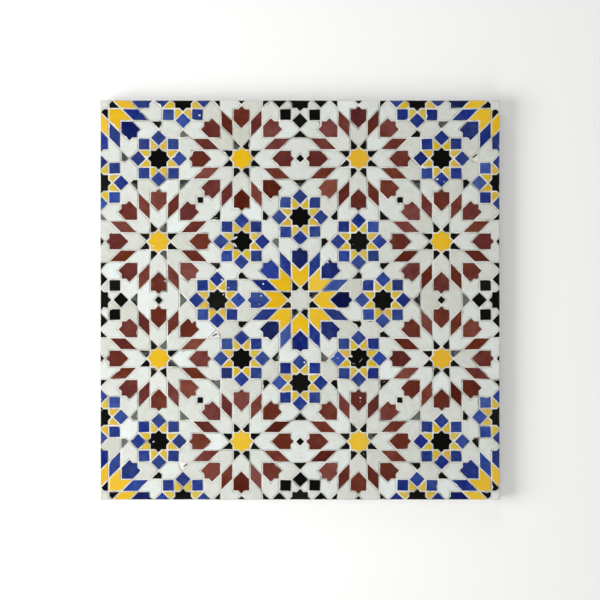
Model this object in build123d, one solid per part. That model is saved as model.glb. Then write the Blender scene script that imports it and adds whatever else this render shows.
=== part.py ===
from build123d import *
from itertools import combinations, permutations, product
from math import atan2, cos, degrees, dist, hypot, isclose, radians, sin, sqrt
import os

os.makedirs("parts", exist_ok=True)

# A square panel of cut-tile mosaic. Small pieces of glazed terracotta are
# chiselled to shape, set close together in their pattern and backed with a
# bed of mortar. X and Y lie in the plane of the panel, Z is up through the
# glazed faces, and the origin is at the middle of the underside.

# Driving dimensions, in millimetres and degrees
panel_side = 600.0        # the square panel is one repeat of the pattern
bed_depth = 18.0          # mortar behind the pieces
piece_depth = 12.0        # from the back of a piece to its glazed face
joint_width = 1.6         # between the faces of neighbouring pieces
joint_recess = 0.8        # from the glazed faces down to the mortar of a joint
undercut_angle = 4.0      # chiselled sides lean inwards towards the back

# The pattern is drawn on a module, the side of a rhomb. Each corner of an
# outline is a few half modules plus a few times s, half a square's diagonal.
s = sqrt(0.5)
module = panel_side / (12 + 16 * s)
edge = 6 + 8 * s              # from the middle of the panel to its edge
large_pitch = 4 + 4 * s       # between neighbouring large rosettes
small_reach = 2 + 4 * s       # from a large rosette to the small ones round it
red_near = large_pitch / 2    # a red rosette's place along one axis
red_far = red_near + large_pitch * s      # and along the other
face_level = bed_depth + piece_depth
trimmed_half = (panel_side - joint_width) / 2

# Outlines in modules, with the centre of the rosette at (0, 0)
star = [
    (radius * cos(radians(turn + angle)), radius * sin(radians(turn + angle)))
    for turn in range(0, 360, 45)
    for radius, angle in ((s, 0), (hypot(0.5, s - 0.5), 22.5))
]
kite = [(s, 0), (s + 0.5, 0.5), (0.5, 0.5), (0.5, s - 0.5)]
square = [(s, 0), (s + 0.5, -0.5), (s + 1, 0), (s + 0.5, 0.5)]
arrow = [
    (s, 0), (s + 0.5, -0.5), (s + 1.5, -0.5),
    (s + 1, 0), (s + 1.5, 0.5), (s + 0.5, 0.5),
]
rhomb = [(s + 0.5, 0.5), (s + 1.5, 0.5), (2 * s + 1.5, s + 0.5), (2 * s + 0.5, s + 0.5)]
petal = [
    (s + 1, 0), (s + 1.5, -0.5), (2 * s + 1.5, -0.5), (2 * s + 1.5, 0.5 - s),
    (3 * s + 1, 0), (2 * s + 1.5, s - 0.5), (2 * s + 1.5, 0.5), (s + 1.5, 0.5),
]
wing = [
    (s + 1.5, 0.5), (2 * s + 1.5, 0.5), (2 * s + 1.5, s - 0.5), (3 * s + 1, 0),
    (3 * s + 1.5, 0.5), (3 * s + 1.5, s + 0.5), (2 * s + 1.5, s + 0.5),
]
link = [
    (3 * s + 1.5, s + 0.5), (4 * s + 1.5, s + 0.5), (4 * s + 2, s + 1), (3 * s + 2.5, 2 * s + 0.5),
    (3 * s + 2.5, s + 1.5), (2 * s + 2.5, s + 1.5), (2 * s + 2, s + 1), (3 * s + 1.5, 1.5),
]
inner_link_kite = [
    (2 * s + 1.5, s + 0.5), (3 * s + 1.5, s + 0.5), (3 * s + 1.5, 1.5), (2 * s + 2, s + 1),
]
outer_link_kite = [
    (4 * s + 2.5, s + 1.5), (3 * s + 2.5, s + 1.5), (3 * s + 2.5, 2 * s + 0.5), (4 * s + 2, s + 1),
]

# Outlines between two red rosettes, with the middle of their line at (0, 0)
tiny_square = [(1 - s, 0), (0, 1 - s), (s - 1, 0), (0, s - 1)]
bridge = [
    (0, 1 - s), (s - 1, 0), (-0.5, s - 0.5), (-0.5, 0.5), (-s - 0.5, 0.5), (-0.5, s + 0.5),
    (0.5, s + 0.5), (s + 0.5, 0.5), (0.5, 0.5), (0.5, s - 0.5), (1 - s, 0),
]
triangle = [(-0.5, s + 0.5), (0.5, s + 0.5), (0, s + 1)]

# Centres of the rosettes, in modules, with those just outside the panel that
# a piece on its edge reaches
both_ways = [(a, b) for a in (-1, 1) for b in (-1, 1)]
blue_rosettes = [(0, 0)] + [(a * edge, b * edge) for a, b in both_ways]
red_rosettes = [
    (a * x, b * y)
    for far in (red_far, 2 * edge - red_far)
    for x, y in ((red_near, far), (far, red_near))
    for a, b in both_ways
]
blue_small_rosettes = [
    (x + small_reach * cos(radians(turn)), y + small_reach * sin(radians(turn)))
    for x, y in blue_rosettes
    for turn in range(0, 360, 45)
]
black_small_rosettes = [(edge, 0), (0, edge), (-edge, 0), (0, -edge)]


def mirrored(outline):
    """The outline turned over about its own X axis."""
    return [(x, -y) for x, y in outline]


def round_each(centres, step=45):
    """Places for a shape that is repeated round each centre."""
    return [(x, y, turn) for x, y in centres for turn in range(0, 360, step)]


def on_lines(pairs, distance, part_way=0.0):
    """Places on the line between the centres of each pair that lies this far apart."""
    places = []
    for start, end in pairs:
        if isclose(dist(start, end), distance, rel_tol=1e-6):
            run = end[0] - start[0]
            rise = end[1] - start[1]
            place = (start[0] + part_way * run, start[1] + part_way * rise)
            places.append((*place, degrees(atan2(rise, run))))
    return places


def cut_piece(outline):
    """One chiselled piece, with half a joint left clear all round its face."""
    corners = [(x * module, y * module, face_level) for x, y in outline]
    face = offset(make_face(Polyline(*corners, close=True)), -joint_width / 2, kind=Kind.INTERSECTION)
    blank = extrude(face, amount=piece_depth, dir=(0, 0, -1))
    sides = blank.faces().filter_by(Axis.Z, reverse=True)
    return draft(sides, Plane.XY.offset(face_level), -undercut_angle).solid()


def laid(outline, places):
    """Copies of a piece at its places, cut flush where they cross the panel's edge."""
    piece = cut_piece(outline)
    copies = []
    for x, y, turn in places:
        copy = Pos(x * module, y * module) * Rot(0, 0, turn) * piece
        box = copy.bounding_box()
        nearest = max(box.min.X, box.min.Y, -box.max.X, -box.max.Y)
        furthest = max(box.max.X, box.max.Y, -box.min.X, -box.min.Y)
        if furthest < trimmed_half + joint_width / 4:
            copies.append(copy)
        elif nearest < trimmed_half:
            copies.extend((copy & panel_block).solids())
    return copies


on_base = (Align.CENTER, Align.CENTER, Align.MIN)
panel_block = Pos(0, 0, bed_depth) * Box(2 * trimmed_half, 2 * trimmed_half, piece_depth, align=on_base)

# The mortar carries the pieces on a flat bed and runs up round the outer ones
# as half a joint, which the next panel's half completes.
mortar = Box(panel_side, panel_side, face_level - joint_recess, align=on_base) - panel_block

all_large = blue_rosettes + red_rosettes
all_small = blue_small_rosettes + black_small_rosettes
towards_small = on_lines(product(all_large, all_small), small_reach)
between_reds = on_lines(combinations(red_rosettes, 2), large_pitch, 0.5)
each_side_of_reds = on_lines(permutations(red_rosettes, 2), large_pitch, 0.5)

nodes = {
    "mortar_bed": mortar.solids(),
    "white_center_stars": laid(star, round_each(blue_rosettes, 360)),
    "yellow_center_stars": laid(star, round_each(red_rosettes, 360)),
    "black_center_kites": laid(kite, round_each(all_large)),
    "yellow_arrows": laid(arrow, round_each(blue_rosettes)),
    "white_arrows": laid(arrow, round_each(red_rosettes)),
    "blue_rhombs": laid(rhomb, round_each(blue_rosettes)),
    "red_rhombs": laid(rhomb, round_each(red_rosettes)),
    "blue_petals": laid(petal, round_each(blue_rosettes)),
    "red_petals": laid(petal, round_each(red_rosettes)),
    "black_small_stars": laid(star, round_each(all_small, 360)),
    "yellow_kites": laid(kite, round_each(blue_small_rosettes)),
    "white_kites": laid(kite, round_each(black_small_rosettes)),
    "blue_squares": laid(square, round_each(blue_small_rosettes)),
    "black_squares": laid(square, round_each(black_small_rosettes)),
    "white_wings": laid(wing, towards_small) + laid(mirrored(wing), towards_small),
    "white_links": laid(link, round_each(blue_rosettes)),
    "black_link_kites": (
        laid(inner_link_kite, round_each(blue_rosettes))
        + laid(outer_link_kite, round_each(blue_rosettes))
    ),
    "black_tiny_squares": laid(tiny_square, between_reds),
    "white_bridges": laid(bridge, each_side_of_reds),
    "black_triangles": laid(triangle, each_side_of_reds),
}
for name, solids in nodes.items():
    export_step(Compound(solids), f"parts/{name}.step")
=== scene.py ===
import math
import random

import bmesh
import bpy
from mathutils import Matrix, Vector, noise


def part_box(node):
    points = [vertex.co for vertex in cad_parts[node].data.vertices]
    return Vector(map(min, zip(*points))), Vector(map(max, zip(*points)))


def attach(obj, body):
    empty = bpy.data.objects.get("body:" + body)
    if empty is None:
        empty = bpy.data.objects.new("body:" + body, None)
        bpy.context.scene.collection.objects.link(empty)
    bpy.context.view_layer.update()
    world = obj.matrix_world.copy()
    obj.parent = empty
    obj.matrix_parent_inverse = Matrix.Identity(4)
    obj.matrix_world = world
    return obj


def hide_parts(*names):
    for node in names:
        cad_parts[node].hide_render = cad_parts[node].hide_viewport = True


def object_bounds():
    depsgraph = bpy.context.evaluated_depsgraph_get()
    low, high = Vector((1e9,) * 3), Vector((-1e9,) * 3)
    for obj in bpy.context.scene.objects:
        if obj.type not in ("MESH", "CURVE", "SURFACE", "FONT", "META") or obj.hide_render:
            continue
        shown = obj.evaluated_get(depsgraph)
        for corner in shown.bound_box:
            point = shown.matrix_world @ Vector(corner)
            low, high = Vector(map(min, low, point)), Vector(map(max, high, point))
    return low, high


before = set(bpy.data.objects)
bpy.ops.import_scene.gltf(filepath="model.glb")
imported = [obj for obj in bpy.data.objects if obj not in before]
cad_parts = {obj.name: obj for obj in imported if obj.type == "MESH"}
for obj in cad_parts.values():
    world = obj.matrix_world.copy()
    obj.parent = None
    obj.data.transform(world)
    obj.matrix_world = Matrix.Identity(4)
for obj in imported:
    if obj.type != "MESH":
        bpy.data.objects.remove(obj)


# The black pieces: terracotta stars, kites, squares and triangles under a black
# glaze. Each is nipped from a fired tile with a heavy hammer, so its outline
# wanders, its corners are blunt and it sits slightly out of true in its mortar.
MM = 0.001
cad_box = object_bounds()       # of the solids alone, before anything is added
panel_side = cad_box[1][0] - cad_box[0][0]
face_level = cad_box[1][2]
nip = 0.26 * MM             # how far inside the line the hammer may cut
nip_waver = 2.7 * MM        # how soon the cut wanders from one depth to another
nip_spacing = 4.6 * MM      # between the blows that make an edge
blunt_corner = 0.8 * MM
blunt_angles = (80, 100)    # degrees; only the corners near a right angle are blunted
tall_edge = 5 * MM          # an edge that climbs further runs up a piece's side
slack = 0.3 * MM            # a piece's shift in its joint
turn_play = 0.4 * MM        # its swing at the corners
lean = 0.5                  # degrees out of the panel's plane
sink = 0.28 * MM            # most that the highest corner of a piece lies below face_level
rim_drop = 0.35 * MM        # flaked edge, below the glaze
rim_waver = 1.9 * MM
flake_waver = 3.1 * MM
shoulder = 0.55 * MM        # where the glaze thins towards the edge
shoulder_drop = 0.14 * MM
flake_reach = (0.9 * MM, 2.0 * MM)      # least and most, in from the edge
flake_slope = 0.6           # reach that is lost for each length along the edge
flake_limit = 0.4           # of the way to the centre
tone_spread = 0.45          # from piece to piece
pooled_edge = 0.5           # how much deeper the glaze is along the shoulder
BARE = 9                    # the tone of a piece that has lost its glaze
odd_reach = 7 * MM          # from the place given for an odd piece to its centre
edge_margin = 1.5 * MM      # a piece this near the panel's side was cut flush


def joined_faces(face):
    """The faces of one piece, from its top face outwards."""
    found = {face}
    queue = [face]
    while queue:
        for edge in queue.pop().edges:
            for near in edge.link_faces:
                if near not in found:
                    found.add(near)
                    queue.append(near)
    return found


def top_faces(shape):
    return [face for face in shape.faces if face.normal.z > 0.99]


def settle(shape, draw):
    """Turns, shifts and leans each piece a little, as a hand lays it."""
    limit = panel_side / 2 - edge_margin
    for top in top_faces(shape):
        verts = {vert for face in joined_faces(top) for vert in face.verts}
        centre = top.calc_center_median()
        radius = max((vert.co - centre).length for vert in top.verts)
        turn = Matrix.Rotation(draw.uniform(-1, 1) * turn_play / radius, 4, "Z")
        tip = Vector((draw.uniform(-1, 1), draw.uniform(-1, 1), 0)) * math.radians(lean)
        shift = Vector((draw.uniform(-slack, slack), draw.uniform(-slack, slack), 0))
        on_edge = any(max(abs(vert.co.x), abs(vert.co.y)) > limit for vert in top.verts)
        for vert in verts:
            arm = vert.co - centre
            if not on_edge:
                vert.co = centre + turn @ arm + shift
            vert.co.z += arm.x * tip.x + arm.y * tip.y
        highest = max(vert.co.z for vert in top.verts)
        drop = max(0.0, highest - (face_level - sink / 2)) + draw.uniform(0, sink / 2)
        for vert in verts:
            vert.co.z -= drop


def nibble(shape):
    """Breaks the straight outlines into the short chords of hammer blows."""
    edges_by_cuts = {}
    for face in top_faces(shape):
        for edge in face.edges:
            cuts = int(edge.calc_length() / nip_spacing) - 1
            if cuts > 0:
                edges_by_cuts.setdefault(cuts, []).append(edge)
    for cuts, edges in sorted(edges_by_cuts.items()):
        bmesh.ops.bisect_edges(shape, edges=edges, cuts=cuts)
    limit = panel_side / 2 - edge_margin
    for top in top_faces(shape):
        centre = top.calc_center_median()
        for vert in top.verts:
            if max(abs(vert.co.x), abs(vert.co.y)) < limit:
                inwards = (centre - vert.co).normalized()
                vert.co += inwards * nip * (0.5 + 0.7 * noise.noise(vert.co / nip_waver))


def flake(top, draw):
    """Breaks the glaze away from one place on the edge of a piece."""
    struck = draw.choice(list(top.verts)).co.copy()
    reach = draw.uniform(*flake_reach)
    centre = top.calc_center_median()
    for vert in top.verts:
        bite = reach - flake_slope * (vert.co - struck).length
        if bite > 0:
            inwards = centre - vert.co
            vert.co += inwards.normalized() * min(bite, flake_limit * inwards.length)


def hand_cut(node, name, rim, flaking, odd_pieces, seed):
    """The pieces of a node as they are cut and laid: a glazed face with a soft
    shoulder, a rim of bare clay, and chiselled clay sides. flaking is the share
    of them that have lost more glaze at one place on the edge. An odd piece is
    given by its place in millimetres and its tone, or BARE."""
    draw = random.Random(seed)
    shape = bmesh.new()
    shape.from_mesh(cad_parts[node].data)
    tone = shape.faces.layers.float.new("tone")
    hue = shape.faces.layers.float.new("hue")
    bmesh.ops.remove_doubles(shape, verts=shape.verts, dist=0.001 * MM)
    bmesh.ops.dissolve_limit(shape, angle_limit=math.radians(0.5), verts=shape.verts, edges=shape.edges)
    settle(shape, draw)
    corners = [
        edge for edge in shape.edges
        if abs(edge.verts[0].co.z - edge.verts[1].co.z) > tall_edge
        and blunt_angles[0] < math.degrees(edge.calc_face_angle_signed()) < blunt_angles[1]
    ]
    bmesh.ops.bevel(
        shape, geom=corners, offset=blunt_corner, offset_type="OFFSET", affect="EDGES",
        segments=1, profile=0.5, material=-1,
    )
    nibble(shape)
    glazed = top_faces(shape)
    outline = {vert for face in glazed for vert in face.verts}
    bmesh.ops.inset_individual(shape, faces=glazed, thickness=rim, use_even_offset=True)
    for vert in outline:
        vert.co.z -= rim_drop * (1 + 0.5 * noise.noise(vert.co / rim_waver))
    for top in glazed:
        centre = top.calc_center_median()
        for vert in top.verts:
            bite = max(0.0, noise.noise(vert.co / flake_waver) - 0.1)
            vert.co += (centre - vert.co).normalized() * rim * 2 * bite
        if draw.random() < flaking:
            flake(top, draw)
    for face in shape.faces:
        face.material_index = 1
    edge_of_glaze = {vert for face in glazed for vert in face.verts}
    slopes = bmesh.ops.inset_individual(
        shape, faces=glazed, thickness=shoulder, use_even_offset=True,
    )["faces"]
    for vert in edge_of_glaze:
        vert.co.z -= shoulder_drop
    for top in glazed:
        piece_tone = draw.gauss(0, tone_spread)
        piece_hue = draw.random()
        for x, y, odd_tone in odd_pieces:
            place = Vector((x * MM, y * MM, face_level))
            if (top.calc_center_median() - place).length < odd_reach:
                piece_tone = odd_tone
        for face in joined_faces(top):
            face[tone] = piece_tone
            face[hue] = piece_hue
    for face in slopes:
        face[tone] += pooled_edge
    for face in glazed + slopes:
        face.material_index = 1 if face[tone] >= BARE else 0
        face.smooth = True
    mesh = bpy.data.meshes.new(name)
    shape.to_mesh(mesh)
    shape.free()
    pieces = bpy.data.objects.new(name, mesh)
    bpy.context.collection.objects.link(pieces)
    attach(pieces, "root")
    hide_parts(node)
    return pieces


def srgb(code):
    """A hex colour as the linear values that a shader takes."""
    parts = [int(code[i:i + 2], 16) / 255 for i in (1, 3, 5)]
    return [*((p / 12.92 if p <= 0.04045 else ((p + 0.055) / 1.055) ** 2.4) for p in parts), 1]


def add_node(material, kind, settings=None, inputs=None):
    """Adds a node, with its settings, and its inputs set or linked."""
    node = material.node_tree.nodes.new(kind)
    for key, value in (settings or {}).items():
        setattr(node, key, value)
    for key, value in (inputs or {}).items():
        if isinstance(value, bpy.types.NodeSocket):
            material.node_tree.links.new(value, node.inputs[key])
        else:
            node.inputs[key].default_value = value
    return node


def new_material(name):
    material = bpy.data.materials.new(name)
    material.use_nodes = True
    material.node_tree.nodes.clear()
    return material


glaze_pool = 16 * MM        # a cloud of thicker or thinner glaze
glaze_speckle = 2.2 * MM
hue_drift = 9 * MM
pit_spacing = 11 * MM       # of the pinholes and small chips


def glaze_on_clay(name, common, pale, deep, bare, flecks, spread, middle=0.5):
    """A lead glaze dipped on terracotta and fired in a wood kiln: it pools and
    thins, so each piece has its own tone, with mottling, pinholes and chips
    that show the bare clay. It is glossy, with a faint orange-peel surface.
    flecks is the share of pits that show, spread how far the hue drifts, and
    middle the depth of the common colour: a low one leaves few pieces pale."""
    material = new_material(name)
    place = add_node(material, "ShaderNodeTexCoord").outputs["Object"]
    tone = add_node(material, "ShaderNodeAttribute", {"attribute_name": "tone"}).outputs["Fac"]
    hue = add_node(material, "ShaderNodeAttribute", {"attribute_name": "hue"}).outputs["Fac"]
    cloud = add_node(material, "ShaderNodeTexNoise", None, {
        "Vector": place, "Scale": 1 / glaze_pool, "Detail": 4, "Roughness": 0.6,
    }).outputs["Fac"]
    grain = add_node(material, "ShaderNodeTexNoise", None, {
        "Vector": place, "Scale": 1 / glaze_speckle, "Detail": 3, "Roughness": 0.65,
    }).outputs["Fac"]
    pooled = add_node(material, "ShaderNodeMath", {"operation": "MULTIPLY_ADD"}, {
        0: cloud, 1: 2.2, 2: tone,
    }).outputs[0]
    speckled = add_node(material, "ShaderNodeMath", {"operation": "MULTIPLY_ADD"}, {
        0: grain, 1: 1.2, 2: pooled,
    }).outputs[0]
    depth = add_node(material, "ShaderNodeMapRange", None, {
        "Value": speckled, "From Min": 0.5, "From Max": 2.9,
    }).outputs["Result"]
    shades = add_node(material, "ShaderNodeValToRGB", None, {"Fac": depth})
    ramp = shades.color_ramp
    ramp.elements[0].position, ramp.elements[0].color = 0.0, srgb(pale)
    ramp.elements[1].position, ramp.elements[1].color = 1.0, srgb(deep)
    ramp.elements.new(middle).color = srgb(common)
    drift = add_node(material, "ShaderNodeTexNoise", None, {
        "Vector": place, "Scale": 1 / hue_drift, "Detail": 2, "Roughness": 0.5,
    }).outputs["Fac"]
    cast = add_node(material, "ShaderNodeMath", {"operation": "MULTIPLY_ADD"}, {
        0: drift, 1: 2, 2: hue,
    }).outputs[0]
    tinted = add_node(material, "ShaderNodeHueSaturation", None, {
        "Color": shades.outputs["Color"],
        "Hue": add_node(material, "ShaderNodeMapRange", None, {
            "Value": cast, "From Min": 0.7, "From Max": 2.3,
            "To Min": 0.5 - 0.01 * spread, "To Max": 0.5 + 0.01 * spread,
        }).outputs["Result"],
        "Saturation": add_node(material, "ShaderNodeMapRange", None, {
            "Value": cast, "From Min": 0.7, "From Max": 2.3,
            "To Min": 1 - 0.1 * spread, "To Max": 1 + 0.1 * spread,
        }).outputs["Result"],
    }).outputs["Color"]
    pits = add_node(material, "ShaderNodeTexVoronoi", {"feature": "F1"}, {
        "Vector": place, "Scale": 1 / pit_spacing, "Randomness": 1,
    })
    pit_size = add_node(material, "ShaderNodeMath", {"operation": "MULTIPLY_ADD"}, {
        0: grain, 1: 0.09, 2: pits.outputs["Distance"],
    }).outputs[0]
    chance = add_node(material, "ShaderNodeSeparateColor", None, {
        "Color": pits.outputs["Color"],
    }).outputs["Red"]
    reach = add_node(material, "ShaderNodeMapRange", None, {
        "Value": chance, "From Min": 1 - flecks, "From Max": 1, "To Min": 0, "To Max": 0.17,
    }).outputs["Result"]
    chipped = add_node(material, "ShaderNodeMath", {"operation": "LESS_THAN"}, {
        0: pit_size, 1: reach,
    }).outputs[0]
    colour = add_node(material, "ShaderNodeMix", {"data_type": "RGBA"}, {
        0: chipped, 6: tinted, 7: srgb(bare),
    }).outputs[2]
    sheen = add_node(material, "ShaderNodeMapRange", None, {
        "Value": cloud, "From Min": 0.3, "From Max": 0.7, "To Min": 0.08, "To Max": 0.2,
    }).outputs["Result"]
    roughness = add_node(material, "ShaderNodeMath", {"operation": "MULTIPLY_ADD"}, {
        0: chipped, 1: 0.5, 2: sheen,
    }).outputs[0]
    relief = add_node(material, "ShaderNodeMath", {"operation": "MULTIPLY_ADD"}, {
        0: chipped, 1: -1.5, 2: cloud,
    }).outputs[0]
    peel = add_node(material, "ShaderNodeBump", None, {
        "Strength": 0.35, "Distance": 0.25 * MM, "Height": relief,
    }).outputs["Normal"]
    surface = add_node(material, "ShaderNodeBsdfPrincipled", None, {
        "Base Color": colour, "Roughness": roughness, "Normal": peel, "IOR": 1.55,
    })
    add_node(material, "ShaderNodeOutputMaterial", None, {"Surface": surface.outputs["BSDF"]})
    return material


clay_grog = 1.4 * MM        # crushed pot in the clay
clay_grime = 26 * MM


def bare_clay(name, common, dusty, grimy):
    """The clay body of a piece where no glaze covers it: low-fired, porous and
    matt, with mortar dust rubbed into the chisel marks and grime in places."""
    material = new_material(name)
    place = add_node(material, "ShaderNodeTexCoord").outputs["Object"]
    grog = add_node(material, "ShaderNodeTexNoise", None, {
        "Vector": place, "Scale": 1 / clay_grog, "Detail": 5, "Roughness": 0.7,
    }).outputs["Fac"]
    dust = add_node(material, "ShaderNodeMix", {"data_type": "RGBA"}, {
        0: grog, 6: srgb(common), 7: srgb(dusty),
    }).outputs[2]
    stain = add_node(material, "ShaderNodeTexNoise", None, {
        "Vector": place, "Scale": 1 / clay_grime, "Detail": 4, "Roughness": 0.6,
    }).outputs["Fac"]
    grime = add_node(material, "ShaderNodeMapRange", None, {
        "Value": stain, "From Min": 0.42, "From Max": 0.6,
    }).outputs["Result"]
    colour = add_node(material, "ShaderNodeMix", {"data_type": "RGBA"}, {
        0: grime, 6: dust, 7: srgb(grimy),
    }).outputs[2]
    bump = add_node(material, "ShaderNodeBump", None, {
        "Strength": 0.6, "Distance": 0.4 * MM, "Height": grog,
    }).outputs["Normal"]
    surface = add_node(material, "ShaderNodeBsdfPrincipled", None, {
        "Base Color": colour, "Roughness": 0.9, "Normal": bump,
    })
    add_node(material, "ShaderNodeOutputMaterial", None, {"Surface": surface.outputs["BSDF"]})
    return material


ragged = 0.35               # how far a chip's outline strays, as a share of its radius
ragged_detail = 1.7


def gouge(pieces, gouges):
    """Cuts chips and scratches out of glaze and clay, each along a short line
    given in millimetres, and shows the material of the given slot in them."""
    cutters = bmesh.new()
    for start_x, start_y, end_x, end_y, width, depth, slot in gouges:
        run = Vector((end_x - start_x, end_y - start_y, 0)) * MM
        middle = Vector((start_x + end_x, start_y + end_y, 0)) * MM / 2
        size = (run.length / 2 + width * MM / 2, width * MM / 2, depth * MM)
        place = (
            Matrix.Translation((*middle.xy, face_level - sink))
            @ Matrix.Rotation(math.atan2(run.y, run.x), 4, "Z")
            @ Matrix.Diagonal((*size, 1))
        )
        made = bmesh.ops.create_icosphere(cutters, subdivisions=2, radius=1)["verts"]
        for vert in made:
            vert.co *= 1 + ragged * noise.noise(vert.co * ragged_detail + middle / MM)
        bmesh.ops.transform(cutters, matrix=place, verts=made)
        for face in {face for vert in made for face in vert.link_faces}:
            face.material_index = slot
    cutter_mesh = bpy.data.meshes.new("gouges")
    cutters.to_mesh(cutter_mesh)
    cutters.free()
    cutter = bpy.data.objects.new("gouges", cutter_mesh)
    bpy.context.collection.objects.link(cutter)
    struck = pieces.modifiers.new("gouges", "BOOLEAN")
    struck.object, struck.solver, struck.material_mode = cutter, "EXACT", "INDEX"
    struck.use_self = True
    chipped = pieces.evaluated_get(bpy.context.evaluated_depsgraph_get())
    cut_mesh = bpy.data.meshes.new_from_object(chipped)
    pieces.modifiers.remove(struck)
    whole_mesh, pieces.data = pieces.data, cut_mesh
    bpy.data.meshes.remove(whole_mesh)
    bpy.data.objects.remove(cutter)
    bpy.data.meshes.remove(cutter_mesh)


def glaze_pieces(nodes, materials, rim, flaking, first_seed, gouges=(), odd_pieces=()):
    """Cuts, glazes and lays the pieces of these nodes."""
    for i, node in enumerate(nodes):
        name = node.replace("_", " ").title().replace(" ", "")
        pieces = hand_cut(node, name, rim, flaking, odd_pieces, first_seed + i)
        for material in materials:
            pieces.data.materials.append(material)
        if gouges:
            gouge(pieces, gouges)
        even = pieces.modifiers.new("flat faces with soft shoulders", "WEIGHTED_NORMAL")
        even.weight = 100


# The whole glaze is a deep, even black. A chip in it shows clay that is nearly
# white, and a scuff leaves it grey and matt. The same grey matt material also
# makes a painted glint: a strip on one star that stands in for a glint of light.
cream_clay = bare_clay("cream terracotta, chipped", "#E6E6DE", "#F3F3EE", "#DCDBD1")
scuff_and_glint_glaze = bare_clay("scuffed black glaze and painted glint", "#77776F", "#A3A49C", "#6A6A63")
black_glaze = glaze_on_clay(
    "manganese black glaze", "#090907", "#1B1B17", "#050504", "#B9B5AA", flecks=0.08, spread=0.5,
)
glaze_pieces(
    ["black_squares", "black_tiny_squares"], [black_glaze, cream_clay],
    rim=0.1 * MM, flaking=0.25, first_seed=100,
)
# The stars' damage: one has lost the glaze between its left rays, one has a
# chip, a long scratch and a grey matt strip that is a painted glint of light,
# and three have a speck.
star_gouges_and_glint = [
    # start x, y and end x, y in mm, width, depth, and 1 for clay or 2 for grey matt glaze (scuffs and
    # one painted glint)
    (-99.8, 91.6, -94.9, 94.4, 3.0, 1.2, 1), (-99.9, 84.4, -96.0, 80.4, 3.6, 1.3, 1),
    (75.6, -84.0, 77.2, -84.4, 3.8, 1.1, 1),
    # the long scratch, then a painted glint: a grey matt strip that stands in for light glinting on the
    # star's glaze
    (88.1, -94.0, 93.4, -88.3, 1.3, 0.4, 2), (78.0, -94.9, 83.0, -96.2, 1.3, 0.4, 2),
    (79.5, 83.5, 80.2, 84.0, 1.3, 0.5, 2), (-115.2, 8.1, -114.6, 8.5, 1.8, 0.6, 1),
    (-220.4, -212.9, -219.4, -212.5, 2.0, 0.6, 1),
]
glaze_pieces(
    ["black_small_stars"], [black_glaze, cream_clay, scuff_and_glint_glaze],
    rim=0.1 * MM, flaking=0.25, first_seed=102, gouges=star_gouges_and_glint,
)
# The kites and triangles were dipped in a thinner black. It has worn to grey on
# many of them, and three have lost it, but for a sliver that still stains them.
stained_clay = bare_clay("terracotta stained by black glaze", "#1C1C19", "#34342F", "#151513")
worn_black_glaze = glaze_on_clay(
    "thin manganese black glaze", "#151511", "#6B6E68", "#070706", "#B9B5AA",
    flecks=0.08, spread=0.5, middle=0.2,
)
kite_gouges = [
    # as above, with 3 for a dark sliver where a bare piece has kept some black
    (80.9, -36.1, 85.2, -39.7, 3.4, 1.2, 1), (92.0, -32.6, 92.8, -33.2, 2.4, 1.0, 1),
    (94.9, -229.0, 96.4, -232.4, 1.1, 0.4, 2), (123.4, -123.0, 128.6, -122.2, 1.1, 0.4, 2),
    (-128.6, 123.4, -123.6, 123.0, 1.1, 0.4, 2),
    (-174.3, -249.8, -169.0, -245.6, 2.2, 0.7, 3), (259.4, 213.2, 265.8, 218.6, 2.5, 0.7, 3),
    (-130.8, -54.2, -124.3, -50.6, 2.5, 0.7, 3), (-121.2, -51.2, -120.8, -53.2, 1.5, 0.6, 3),
]
worn_pieces = [
    # x and y in mm, and tone: the lower, the greyer, and above 0 a good black
    (-125.4, -123.9, -1.3), (-174.2, -172.7, -1.4), (-248.2, -172.7, -1.3), (-264.5, -214.2, -1.4),
    (-80.9, -192.0, -0.7), (-109.0, -220.0, -0.6), (-175.0, 248.4, -1.6), (-263.4, 213.9, -0.9),
    (-295.7, 124.2, -1.6), (-175.0, 175.1, -0.9), (-247.6, 175.1, -0.8), (-95.4, 233.3, -0.9),
    (-204.6, 109.1, -0.95), (-36.8, 87.4, -1.4), (37.1, -86.3, -1.2), (-36.1, -86.3, -0.8),
    (-7.4, -19.6, -1.0), (19.9, 7.7, -0.75), (174.0, -174.0, -1.3), (108.0, -204.9, -1.0),
    (-175.7, 0, -1.3), (-248.2, 0, -1.0), (-233.4, -79.9, -0.8), (-220.0, -66.6, -0.7),
    (-205.2, -66.6, -1.2), (-192.0, -94.8, -0.9), (-205.2, 68.1, -1.2), (-124.8, 51.8, -0.85),
    (176.2, 1.0, -0.95), (248.8, 1.0, -1.1), (85.4, 36.5, -0.75), (214.8, 263.0, -0.95),
    (174.2, 174.2, -0.9), (233.4, -80.8, -1.0), (-21.2, -6.9, -0.6), (66.3, 218.9, 0.4),
    (127.6, -127.2, 0.2), (-50.9, 294.2, -0.5),
    (-172.7, -248.2, BARE), (263.9, 215.7, BARE), (-124.8, -51.8, BARE),
]
glaze_pieces(
    ["black_center_kites", "black_triangles", "black_link_kites"],
    [worn_black_glaze, cream_clay, scuff_and_glint_glaze, stained_clay],
    rim=0.1 * MM, flaking=0.3, first_seed=150, gouges=kite_gouges, odd_pieces=worn_pieces,
)


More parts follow.
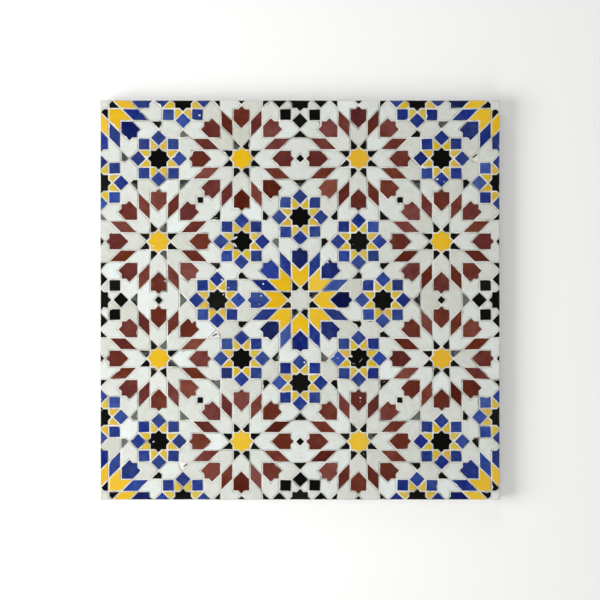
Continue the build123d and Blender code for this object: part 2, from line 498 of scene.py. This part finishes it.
# The blue pieces: squares, rhombs and petals under a cobalt glaze, which runs
# from a bright to a nearly black blue as it pools. It flakes more than the
# other colours, and the flakes show as pale flecks.
blue_glaze = glaze_on_clay(
    "cobalt blue glaze", "#293C82", "#4059A4", "#1F2D6C", "#E2E5E8", flecks=0.12, spread=0.7,
)
square_gouges = [
    (-151.1, 277.0, -150.5, 277.2, 3.0, 0.8, 1), (6.3, -93.5, 6.8, -93.4, 2.8, 0.8, 1),
    (56.5, -86.9, 57.0, -86.8, 1.4, 0.5, 1), (205.2, 181.0, 206.6, 181.4, 2.8, 0.8, 1),
    (215.8, 177.7, 216.2, 177.9, 1.4, 0.5, 1), (-117.6, 30.6, -116.4, 29.8, 2.6, 0.8, 1),
    (-107.2, 18.3, -106.8, 18.5, 1.8, 0.6, 1),
]
pale_square = [(-92.8, 0, -1.1)]
glaze_pieces(
    ["blue_squares"], [blue_glaze, cream_clay],
    rim=0.14 * MM, flaking=0.2, first_seed=200, gouges=square_gouges, odd_pieces=pale_square,
)
rhomb_gouge = [(-240.0, 281.9, -238.0, 281.5, 2.0, 0.8, 1)]
pale_and_deep_rhomb = [(-21.0, -52.6, -0.9), (-53.3, 22.1, 0.8)]
glaze_pieces(
    ["blue_rhombs"], [blue_glaze, cream_clay],
    rim=0.14 * MM, flaking=0.25, first_seed=201, gouges=rhomb_gouge, odd_pieces=pale_and_deep_rhomb,
)
deep_blue_glaze = glaze_on_clay(
    "pooled cobalt blue glaze", "#1E2C6C", "#334894", "#0F1642", "#E2E5E8", flecks=0.12, spread=0.7,
)
petal_gouges = [
    (-58.9, 5.8, -57.9, 6.8, 1.8, 0.6, 1), (-61.4, -6.1, -61.0, -5.9, 1.2, 0.5, 1),
    (40.6, 57.0, 42.2, 56.2, 2.2, 0.8, 1),
]
deep_petals = [(62.2, 0, 1.3), (0, 62.2, 0.5)]
glaze_pieces(
    ["blue_petals"], [deep_blue_glaze, cream_clay],
    rim=0.14 * MM, flaking=0.25, first_seed=250, gouges=petal_gouges, odd_pieces=deep_petals,
)


# The red pieces: rhombs and petals under an iron glaze, brownish red, and
# pinker where the glaze is thin.
red_glaze = glaze_on_clay(
    "iron red glaze", "#672F26", "#854C42", "#501C16", "#D5C4B6", flecks=0.05, spread=1,
)
red_gouges = [
    (90.2, -146.6, 90.9, -147.0, 2.2, 0.7, 1), (90.0, -152.4, 90.4, -152.6, 1.2, 0.5, 1),
    (-202.9, 28.4, -201.7, 28.0, 2.6, 0.9, 1), (-162.9, -31.8, -161.7, -33.4, 2.8, 0.9, 1),
]
glaze_pieces(
    ["red_rhombs", "red_petals"], [red_glaze, cream_clay],
    rim=0.14 * MM, flaking=0.12, first_seed=300, gouges=red_gouges,
)


# The yellow pieces: stars, arrows and kites under an antimony glaze. The small
# kites were cut from paler, greener tiles than the stars and arrows.
yellow_glaze = glaze_on_clay(
    "antimony yellow glaze", "#EABD2E", "#EEC644", "#E3B124", "#EADFBE", flecks=0.04, spread=0.3,
)
glaze_pieces(
    ["yellow_center_stars", "yellow_arrows"], [yellow_glaze, cream_clay],
    rim=0.14 * MM, flaking=0.08, first_seed=400,
)
pale_yellow_glaze = glaze_on_clay(
    "pale antimony yellow glaze", "#DABA3E", "#D3C352", "#DBAE33", "#EADFBE", flecks=0.05, spread=0.7,
)
glaze_pieces(
    ["yellow_kites"], [pale_yellow_glaze, cream_clay],
    rim=0.14 * MM, flaking=0.15, first_seed=450,
)


# The white pieces: stars, arrows, kites and the pieces that join the rosettes,
# under a tin glaze. It is a cool greenish white on some pieces and a warm one
# on others, and its chipped rims hardly show.
pale_clay = bare_clay("pale terracotta, chipped", "#D2D3CD", "#E2E2DD", "#979992")
white_glaze = glaze_on_clay(
    "tin white glaze", "#DEE2DB", "#EAF0ED", "#CECFC2", "#C9C5B7", flecks=0.05, spread=1,
)
glaze_pieces(
    ["white_center_stars", "white_arrows", "white_kites", "white_wings", "white_links", "white_bridges"],
    [white_glaze, pale_clay],
    rim=0.22 * MM, flaking=0.1, first_seed=500,
)


# The mortar: cement and lime cast on the backs of the pieces in a wooden frame.
# It fills the joints to just below the glaze, shows the frame's print on its
# sides, and has a trowelled back that lies flat.
joint_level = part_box("mortar_bed")[1][2]
side_cells = 160            # across the panel, so that a cell is under 4 mm
wall_cells = 9              # up the sides
back_hollow = 0.6 * MM      # between the high spots that the back lies on
back_waves = 60 * MM        # left by the trowel
back_ripples = 9 * MM
joint_sag = 0.35 * MM       # of the mortar between two pieces
sag_spacing = 7 * MM
side_waver = 0.5 * MM       # of the cast sides
side_waves = 11 * MM
arris = 1.6 * MM            # worn lower edges of the slab
arris_waves = 5 * MM
grime_patch = 32 * MM
sand_grain = 1.1 * MM       # coarser than real sand, so that it shows
pinhole_spacing = 6 * MM

slab = bmesh.new()
back = bmesh.ops.create_grid(
    slab, x_segments=side_cells, y_segments=side_cells, size=panel_side / 2,
)["verts"]
back_shape = {}
for vert in back:
    wave = noise.noise(vert.co / back_waves) + 0.3 * noise.noise(vert.co / back_ripples)
    back_shape[vert] = back_hollow * max(0.0, wave)
back_rim = {edge for edge in slab.edges if edge.is_boundary}
face_of_mortar = bmesh.ops.create_grid(
    slab, x_segments=side_cells, y_segments=side_cells, size=panel_side / 2,
)["verts"]
for vert in face_of_mortar:
    vert.co.z = joint_level - joint_sag * (0.5 + 0.5 * noise.noise(vert.co / sag_spacing))
rim_edges = [edge for edge in slab.edges if edge.is_boundary and edge not in back_rim]
for step in range(wall_cells):
    walls = bmesh.ops.extrude_edge_only(slab, edges=rim_edges)["geom"]
    rim_edges = [item for item in walls if isinstance(item, bmesh.types.BMEdge) and item.is_boundary]
    for vert in {vert for edge in rim_edges for vert in edge.verts}:
        vert.co.z = joint_level * (1 - (step + 1) / wall_cells)
for vert, height in back_shape.items():
    if not vert.is_boundary:
        vert.co.z = height
bmesh.ops.remove_doubles(slab, verts=slab.verts, dist=0.01 * MM)
for vert in slab.verts:
    place = vert.co.copy()
    depth = side_waver * (0.5 + 0.5 * noise.noise(place / side_waves))
    height = min(place.z, joint_level - place.z)
    worn = arris * max(0.0, 1 - height / arris) * (0.35 + 0.3 * noise.noise(place / arris_waves))
    for axis in range(2):
        if abs(place[axis]) > panel_side / 2 - 0.1 * MM:
            vert.co[axis] -= math.copysign(depth + worn * (place.z < 0.5 * joint_level), place[axis])
bmesh.ops.recalc_face_normals(slab, faces=slab.faces)
mortar_mesh = bpy.data.meshes.new("Mortar")
slab.to_mesh(mortar_mesh)
slab.free()
mortar = bpy.data.objects.new("Mortar", mortar_mesh)
bpy.context.collection.objects.link(mortar)

# Matt and sandy, with small pinholes where air stayed, an even pale grey on the
# sides and back, and patches of white lime and grey grime in the joints.
cast_mortar = new_material("cast lime and cement mortar")
mortar_place = add_node(cast_mortar, "ShaderNodeTexCoord").outputs["Object"]
grime = add_node(cast_mortar, "ShaderNodeTexNoise", None, {
    "Vector": mortar_place, "Scale": 1 / grime_patch, "Detail": 4, "Roughness": 0.65,
}).outputs["Fac"]
height = add_node(cast_mortar, "ShaderNodeSeparateXYZ", None, {"Vector": mortar_place}).outputs["Z"]
in_joint = add_node(cast_mortar, "ShaderNodeMapRange", None, {
    "Value": height, "From Min": joint_level - 6 * MM, "From Max": joint_level - 1 * MM,
    "To Min": 0.25, "To Max": 1,
}).outputs["Result"]
damp = add_node(cast_mortar, "ShaderNodeMix", {"data_type": "FLOAT"}, {
    0: in_joint, 2: 0.62, 3: grime,
}).outputs[0]
sand = add_node(cast_mortar, "ShaderNodeTexNoise", None, {
    "Vector": mortar_place, "Scale": 1 / sand_grain, "Detail": 4, "Roughness": 0.75,
}).outputs["Fac"]
bubbles = add_node(cast_mortar, "ShaderNodeTexVoronoi", {"feature": "F1"}, {
    "Vector": mortar_place, "Scale": 1 / pinhole_spacing, "Randomness": 1,
}).outputs["Distance"]
pinholes = add_node(cast_mortar, "ShaderNodeMapRange", None, {
    "Value": bubbles, "From Min": 0.1, "From Max": 0.17,
}).outputs["Result"]
mixed = add_node(cast_mortar, "ShaderNodeMath", {"operation": "MULTIPLY_ADD"}, {
    0: sand, 1: 0.35, 2: damp,
}).outputs[0]
paleness = add_node(cast_mortar, "ShaderNodeMapRange", None, {
    "Value": mixed, "From Min": 0.5, "From Max": 0.8,
}).outputs["Result"]
mortar_shades = add_node(cast_mortar, "ShaderNodeValToRGB", None, {"Fac": paleness})
mortar_shades.color_ramp.elements[0].color = srgb("#94968F")
mortar_shades.color_ramp.elements[1].color = srgb("#E9E9E3")
mortar_shades.color_ramp.elements.new(0.4).color = srgb("#CBCCC5")
mortar_colour = add_node(cast_mortar, "ShaderNodeMix", {"data_type": "RGBA"}, {
    0: pinholes, 6: srgb("#8F897C"), 7: mortar_shades.outputs["Color"],
}).outputs[2]
mortar_height = add_node(cast_mortar, "ShaderNodeMath", {"operation": "MULTIPLY_ADD"}, {
    0: pinholes, 1: 1.2, 2: sand,
}).outputs[0]
mortar_bump = add_node(cast_mortar, "ShaderNodeBump", None, {
    "Strength": 0.7, "Distance": 0.5 * MM, "Height": mortar_height,
}).outputs["Normal"]
mortar_surface = add_node(cast_mortar, "ShaderNodeBsdfPrincipled", None, {
    "Base Color": mortar_colour, "Roughness": 0.92, "Normal": mortar_bump,
})
add_node(cast_mortar, "ShaderNodeOutputMaterial", None, {"Surface": mortar_surface.outputs["BSDF"]})
mortar.data.materials.append(cast_mortar)
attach(mortar, "root")
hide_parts("mortar_bed")


# The studio: a pale floor, soft lamps at the sides of the panel, so that their
# mirror images stay out of the glaze, and a camera that looks straight down.
frame_share = 400 / 600     # of the picture's width that the panel fills
lens = 100                  # millimetres
sensor = 36                 # millimetres wide
floor_reach = 6             # metres from the panel's middle
shadow_reach = 0.7          # metres out to where the floor starts to brighten
glow_reach = 2.2            # metres out to where it is plain white

floor_shape = bmesh.new()
bmesh.ops.create_grid(floor_shape, x_segments=1, y_segments=1, size=floor_reach)
floor_mesh = bpy.data.meshes.new("Floor")
floor_shape.to_mesh(floor_mesh)
floor_shape.free()
floor = bpy.data.objects.new("Floor", floor_mesh)
bpy.context.collection.objects.link(floor)
# Matt paper: it takes the panel's soft shadow, and glows white further out.
pale_floor = new_material("pale studio floor")
seen = add_node(pale_floor, "ShaderNodeLightPath").outputs["Is Camera Ray"]
matt_floor = add_node(pale_floor, "ShaderNodeBsdfDiffuse", None, {"Color": srgb("#F4F4F3")})
from_panel = add_node(pale_floor, "ShaderNodeVectorMath", {"operation": "LENGTH"}, {
    0: add_node(pale_floor, "ShaderNodeTexCoord").outputs["Object"],
}).outputs["Value"]
far_glow = add_node(pale_floor, "ShaderNodeMapRange", None, {
    "Value": from_panel, "From Min": shadow_reach, "From Max": glow_reach,
    "To Min": 0.12, "To Max": 1,
}).outputs["Result"]
glow = add_node(pale_floor, "ShaderNodeMath", {"operation": "MULTIPLY"}, {
    0: seen, 1: far_glow,
}).outputs[0]
lit_floor = add_node(pale_floor, "ShaderNodeEmission", None, {
    "Color": srgb("#FCFCFA"), "Strength": glow,
})
floor_sum = add_node(pale_floor, "ShaderNodeAddShader", None, {
    0: matt_floor.outputs["BSDF"], 1: lit_floor.outputs["Emission"],
})
add_node(pale_floor, "ShaderNodeOutputMaterial", None, {"Surface": floor_sum.outputs["Shader"]})
floor.data.materials.append(pale_floor)

# The sky is white to the camera, and the glaze mirrors only a dim low band of it.
world_light = 0.05          # of the sky on everything else
world = bpy.data.worlds.new("soft studio")
world.use_nodes = True
world.node_tree.nodes.clear()
ray = add_node(world, "ShaderNodeLightPath")
skyward = add_node(world, "ShaderNodeSeparateXYZ", None, {
    "Vector": add_node(world, "ShaderNodeTexCoord").outputs["Generated"],
}).outputs["Z"]
horizon = add_node(world, "ShaderNodeMapRange", None, {
    "Value": skyward, "From Min": 0.2, "From Max": 0.6, "To Min": 0.25, "To Max": 0,
}).outputs["Result"]
mirrored = add_node(world, "ShaderNodeMath", {"operation": "MULTIPLY"}, {
    0: ray.outputs["Is Glossy Ray"], 1: horizon,
}).outputs[0]
bright = add_node(world, "ShaderNodeMath", {"operation": "MAXIMUM"}, {
    0: ray.outputs["Is Camera Ray"], 1: mirrored,
}).outputs[0]
strength = add_node(world, "ShaderNodeMath", {"operation": "MAXIMUM"}, {
    0: bright, 1: world_light,
}).outputs[0]
sky = add_node(world, "ShaderNodeBackground", None, {"Color": srgb("#FFFFFF"), "Strength": strength})
add_node(world, "ShaderNodeOutputWorld", None, {"Surface": sky.outputs["Background"]})
bpy.context.scene.world = world

lamps = {
    # name: (place in metres, size in metres, watts)
    "left softbox": ((-1.6, -0.3, 1.3), 1.4, 43),
    "right softbox": ((2.0, 0.4, 1.6), 1.6, 9),
    "front softbox": ((0.2, -2.1, 1.5), 1.6, 20),
    "back softbox": ((-0.2, 2.1, 1.5), 1.6, 20),
}
for name, (place, size, watts) in lamps.items():
    light = bpy.data.lights.new(name, "AREA")
    light.size = size
    light.energy = watts
    lamp = bpy.data.objects.new(name, light)
    lamp.location = place
    lamp.rotation_euler = (-Vector(place)).to_track_quat("-Z", "Y").to_euler()
    bpy.context.collection.objects.link(lamp)

camera_data = bpy.data.cameras.new("camera")
camera_data.lens = lens
camera_data.sensor_width = sensor
camera = bpy.data.objects.new("camera", camera_data)
camera.location = (0, 0, face_level + panel_side / frame_share * lens / sensor)
bpy.context.collection.objects.link(camera)
bpy.context.scene.camera = camera
bpy.context.scene.view_settings.view_transform = "Standard"
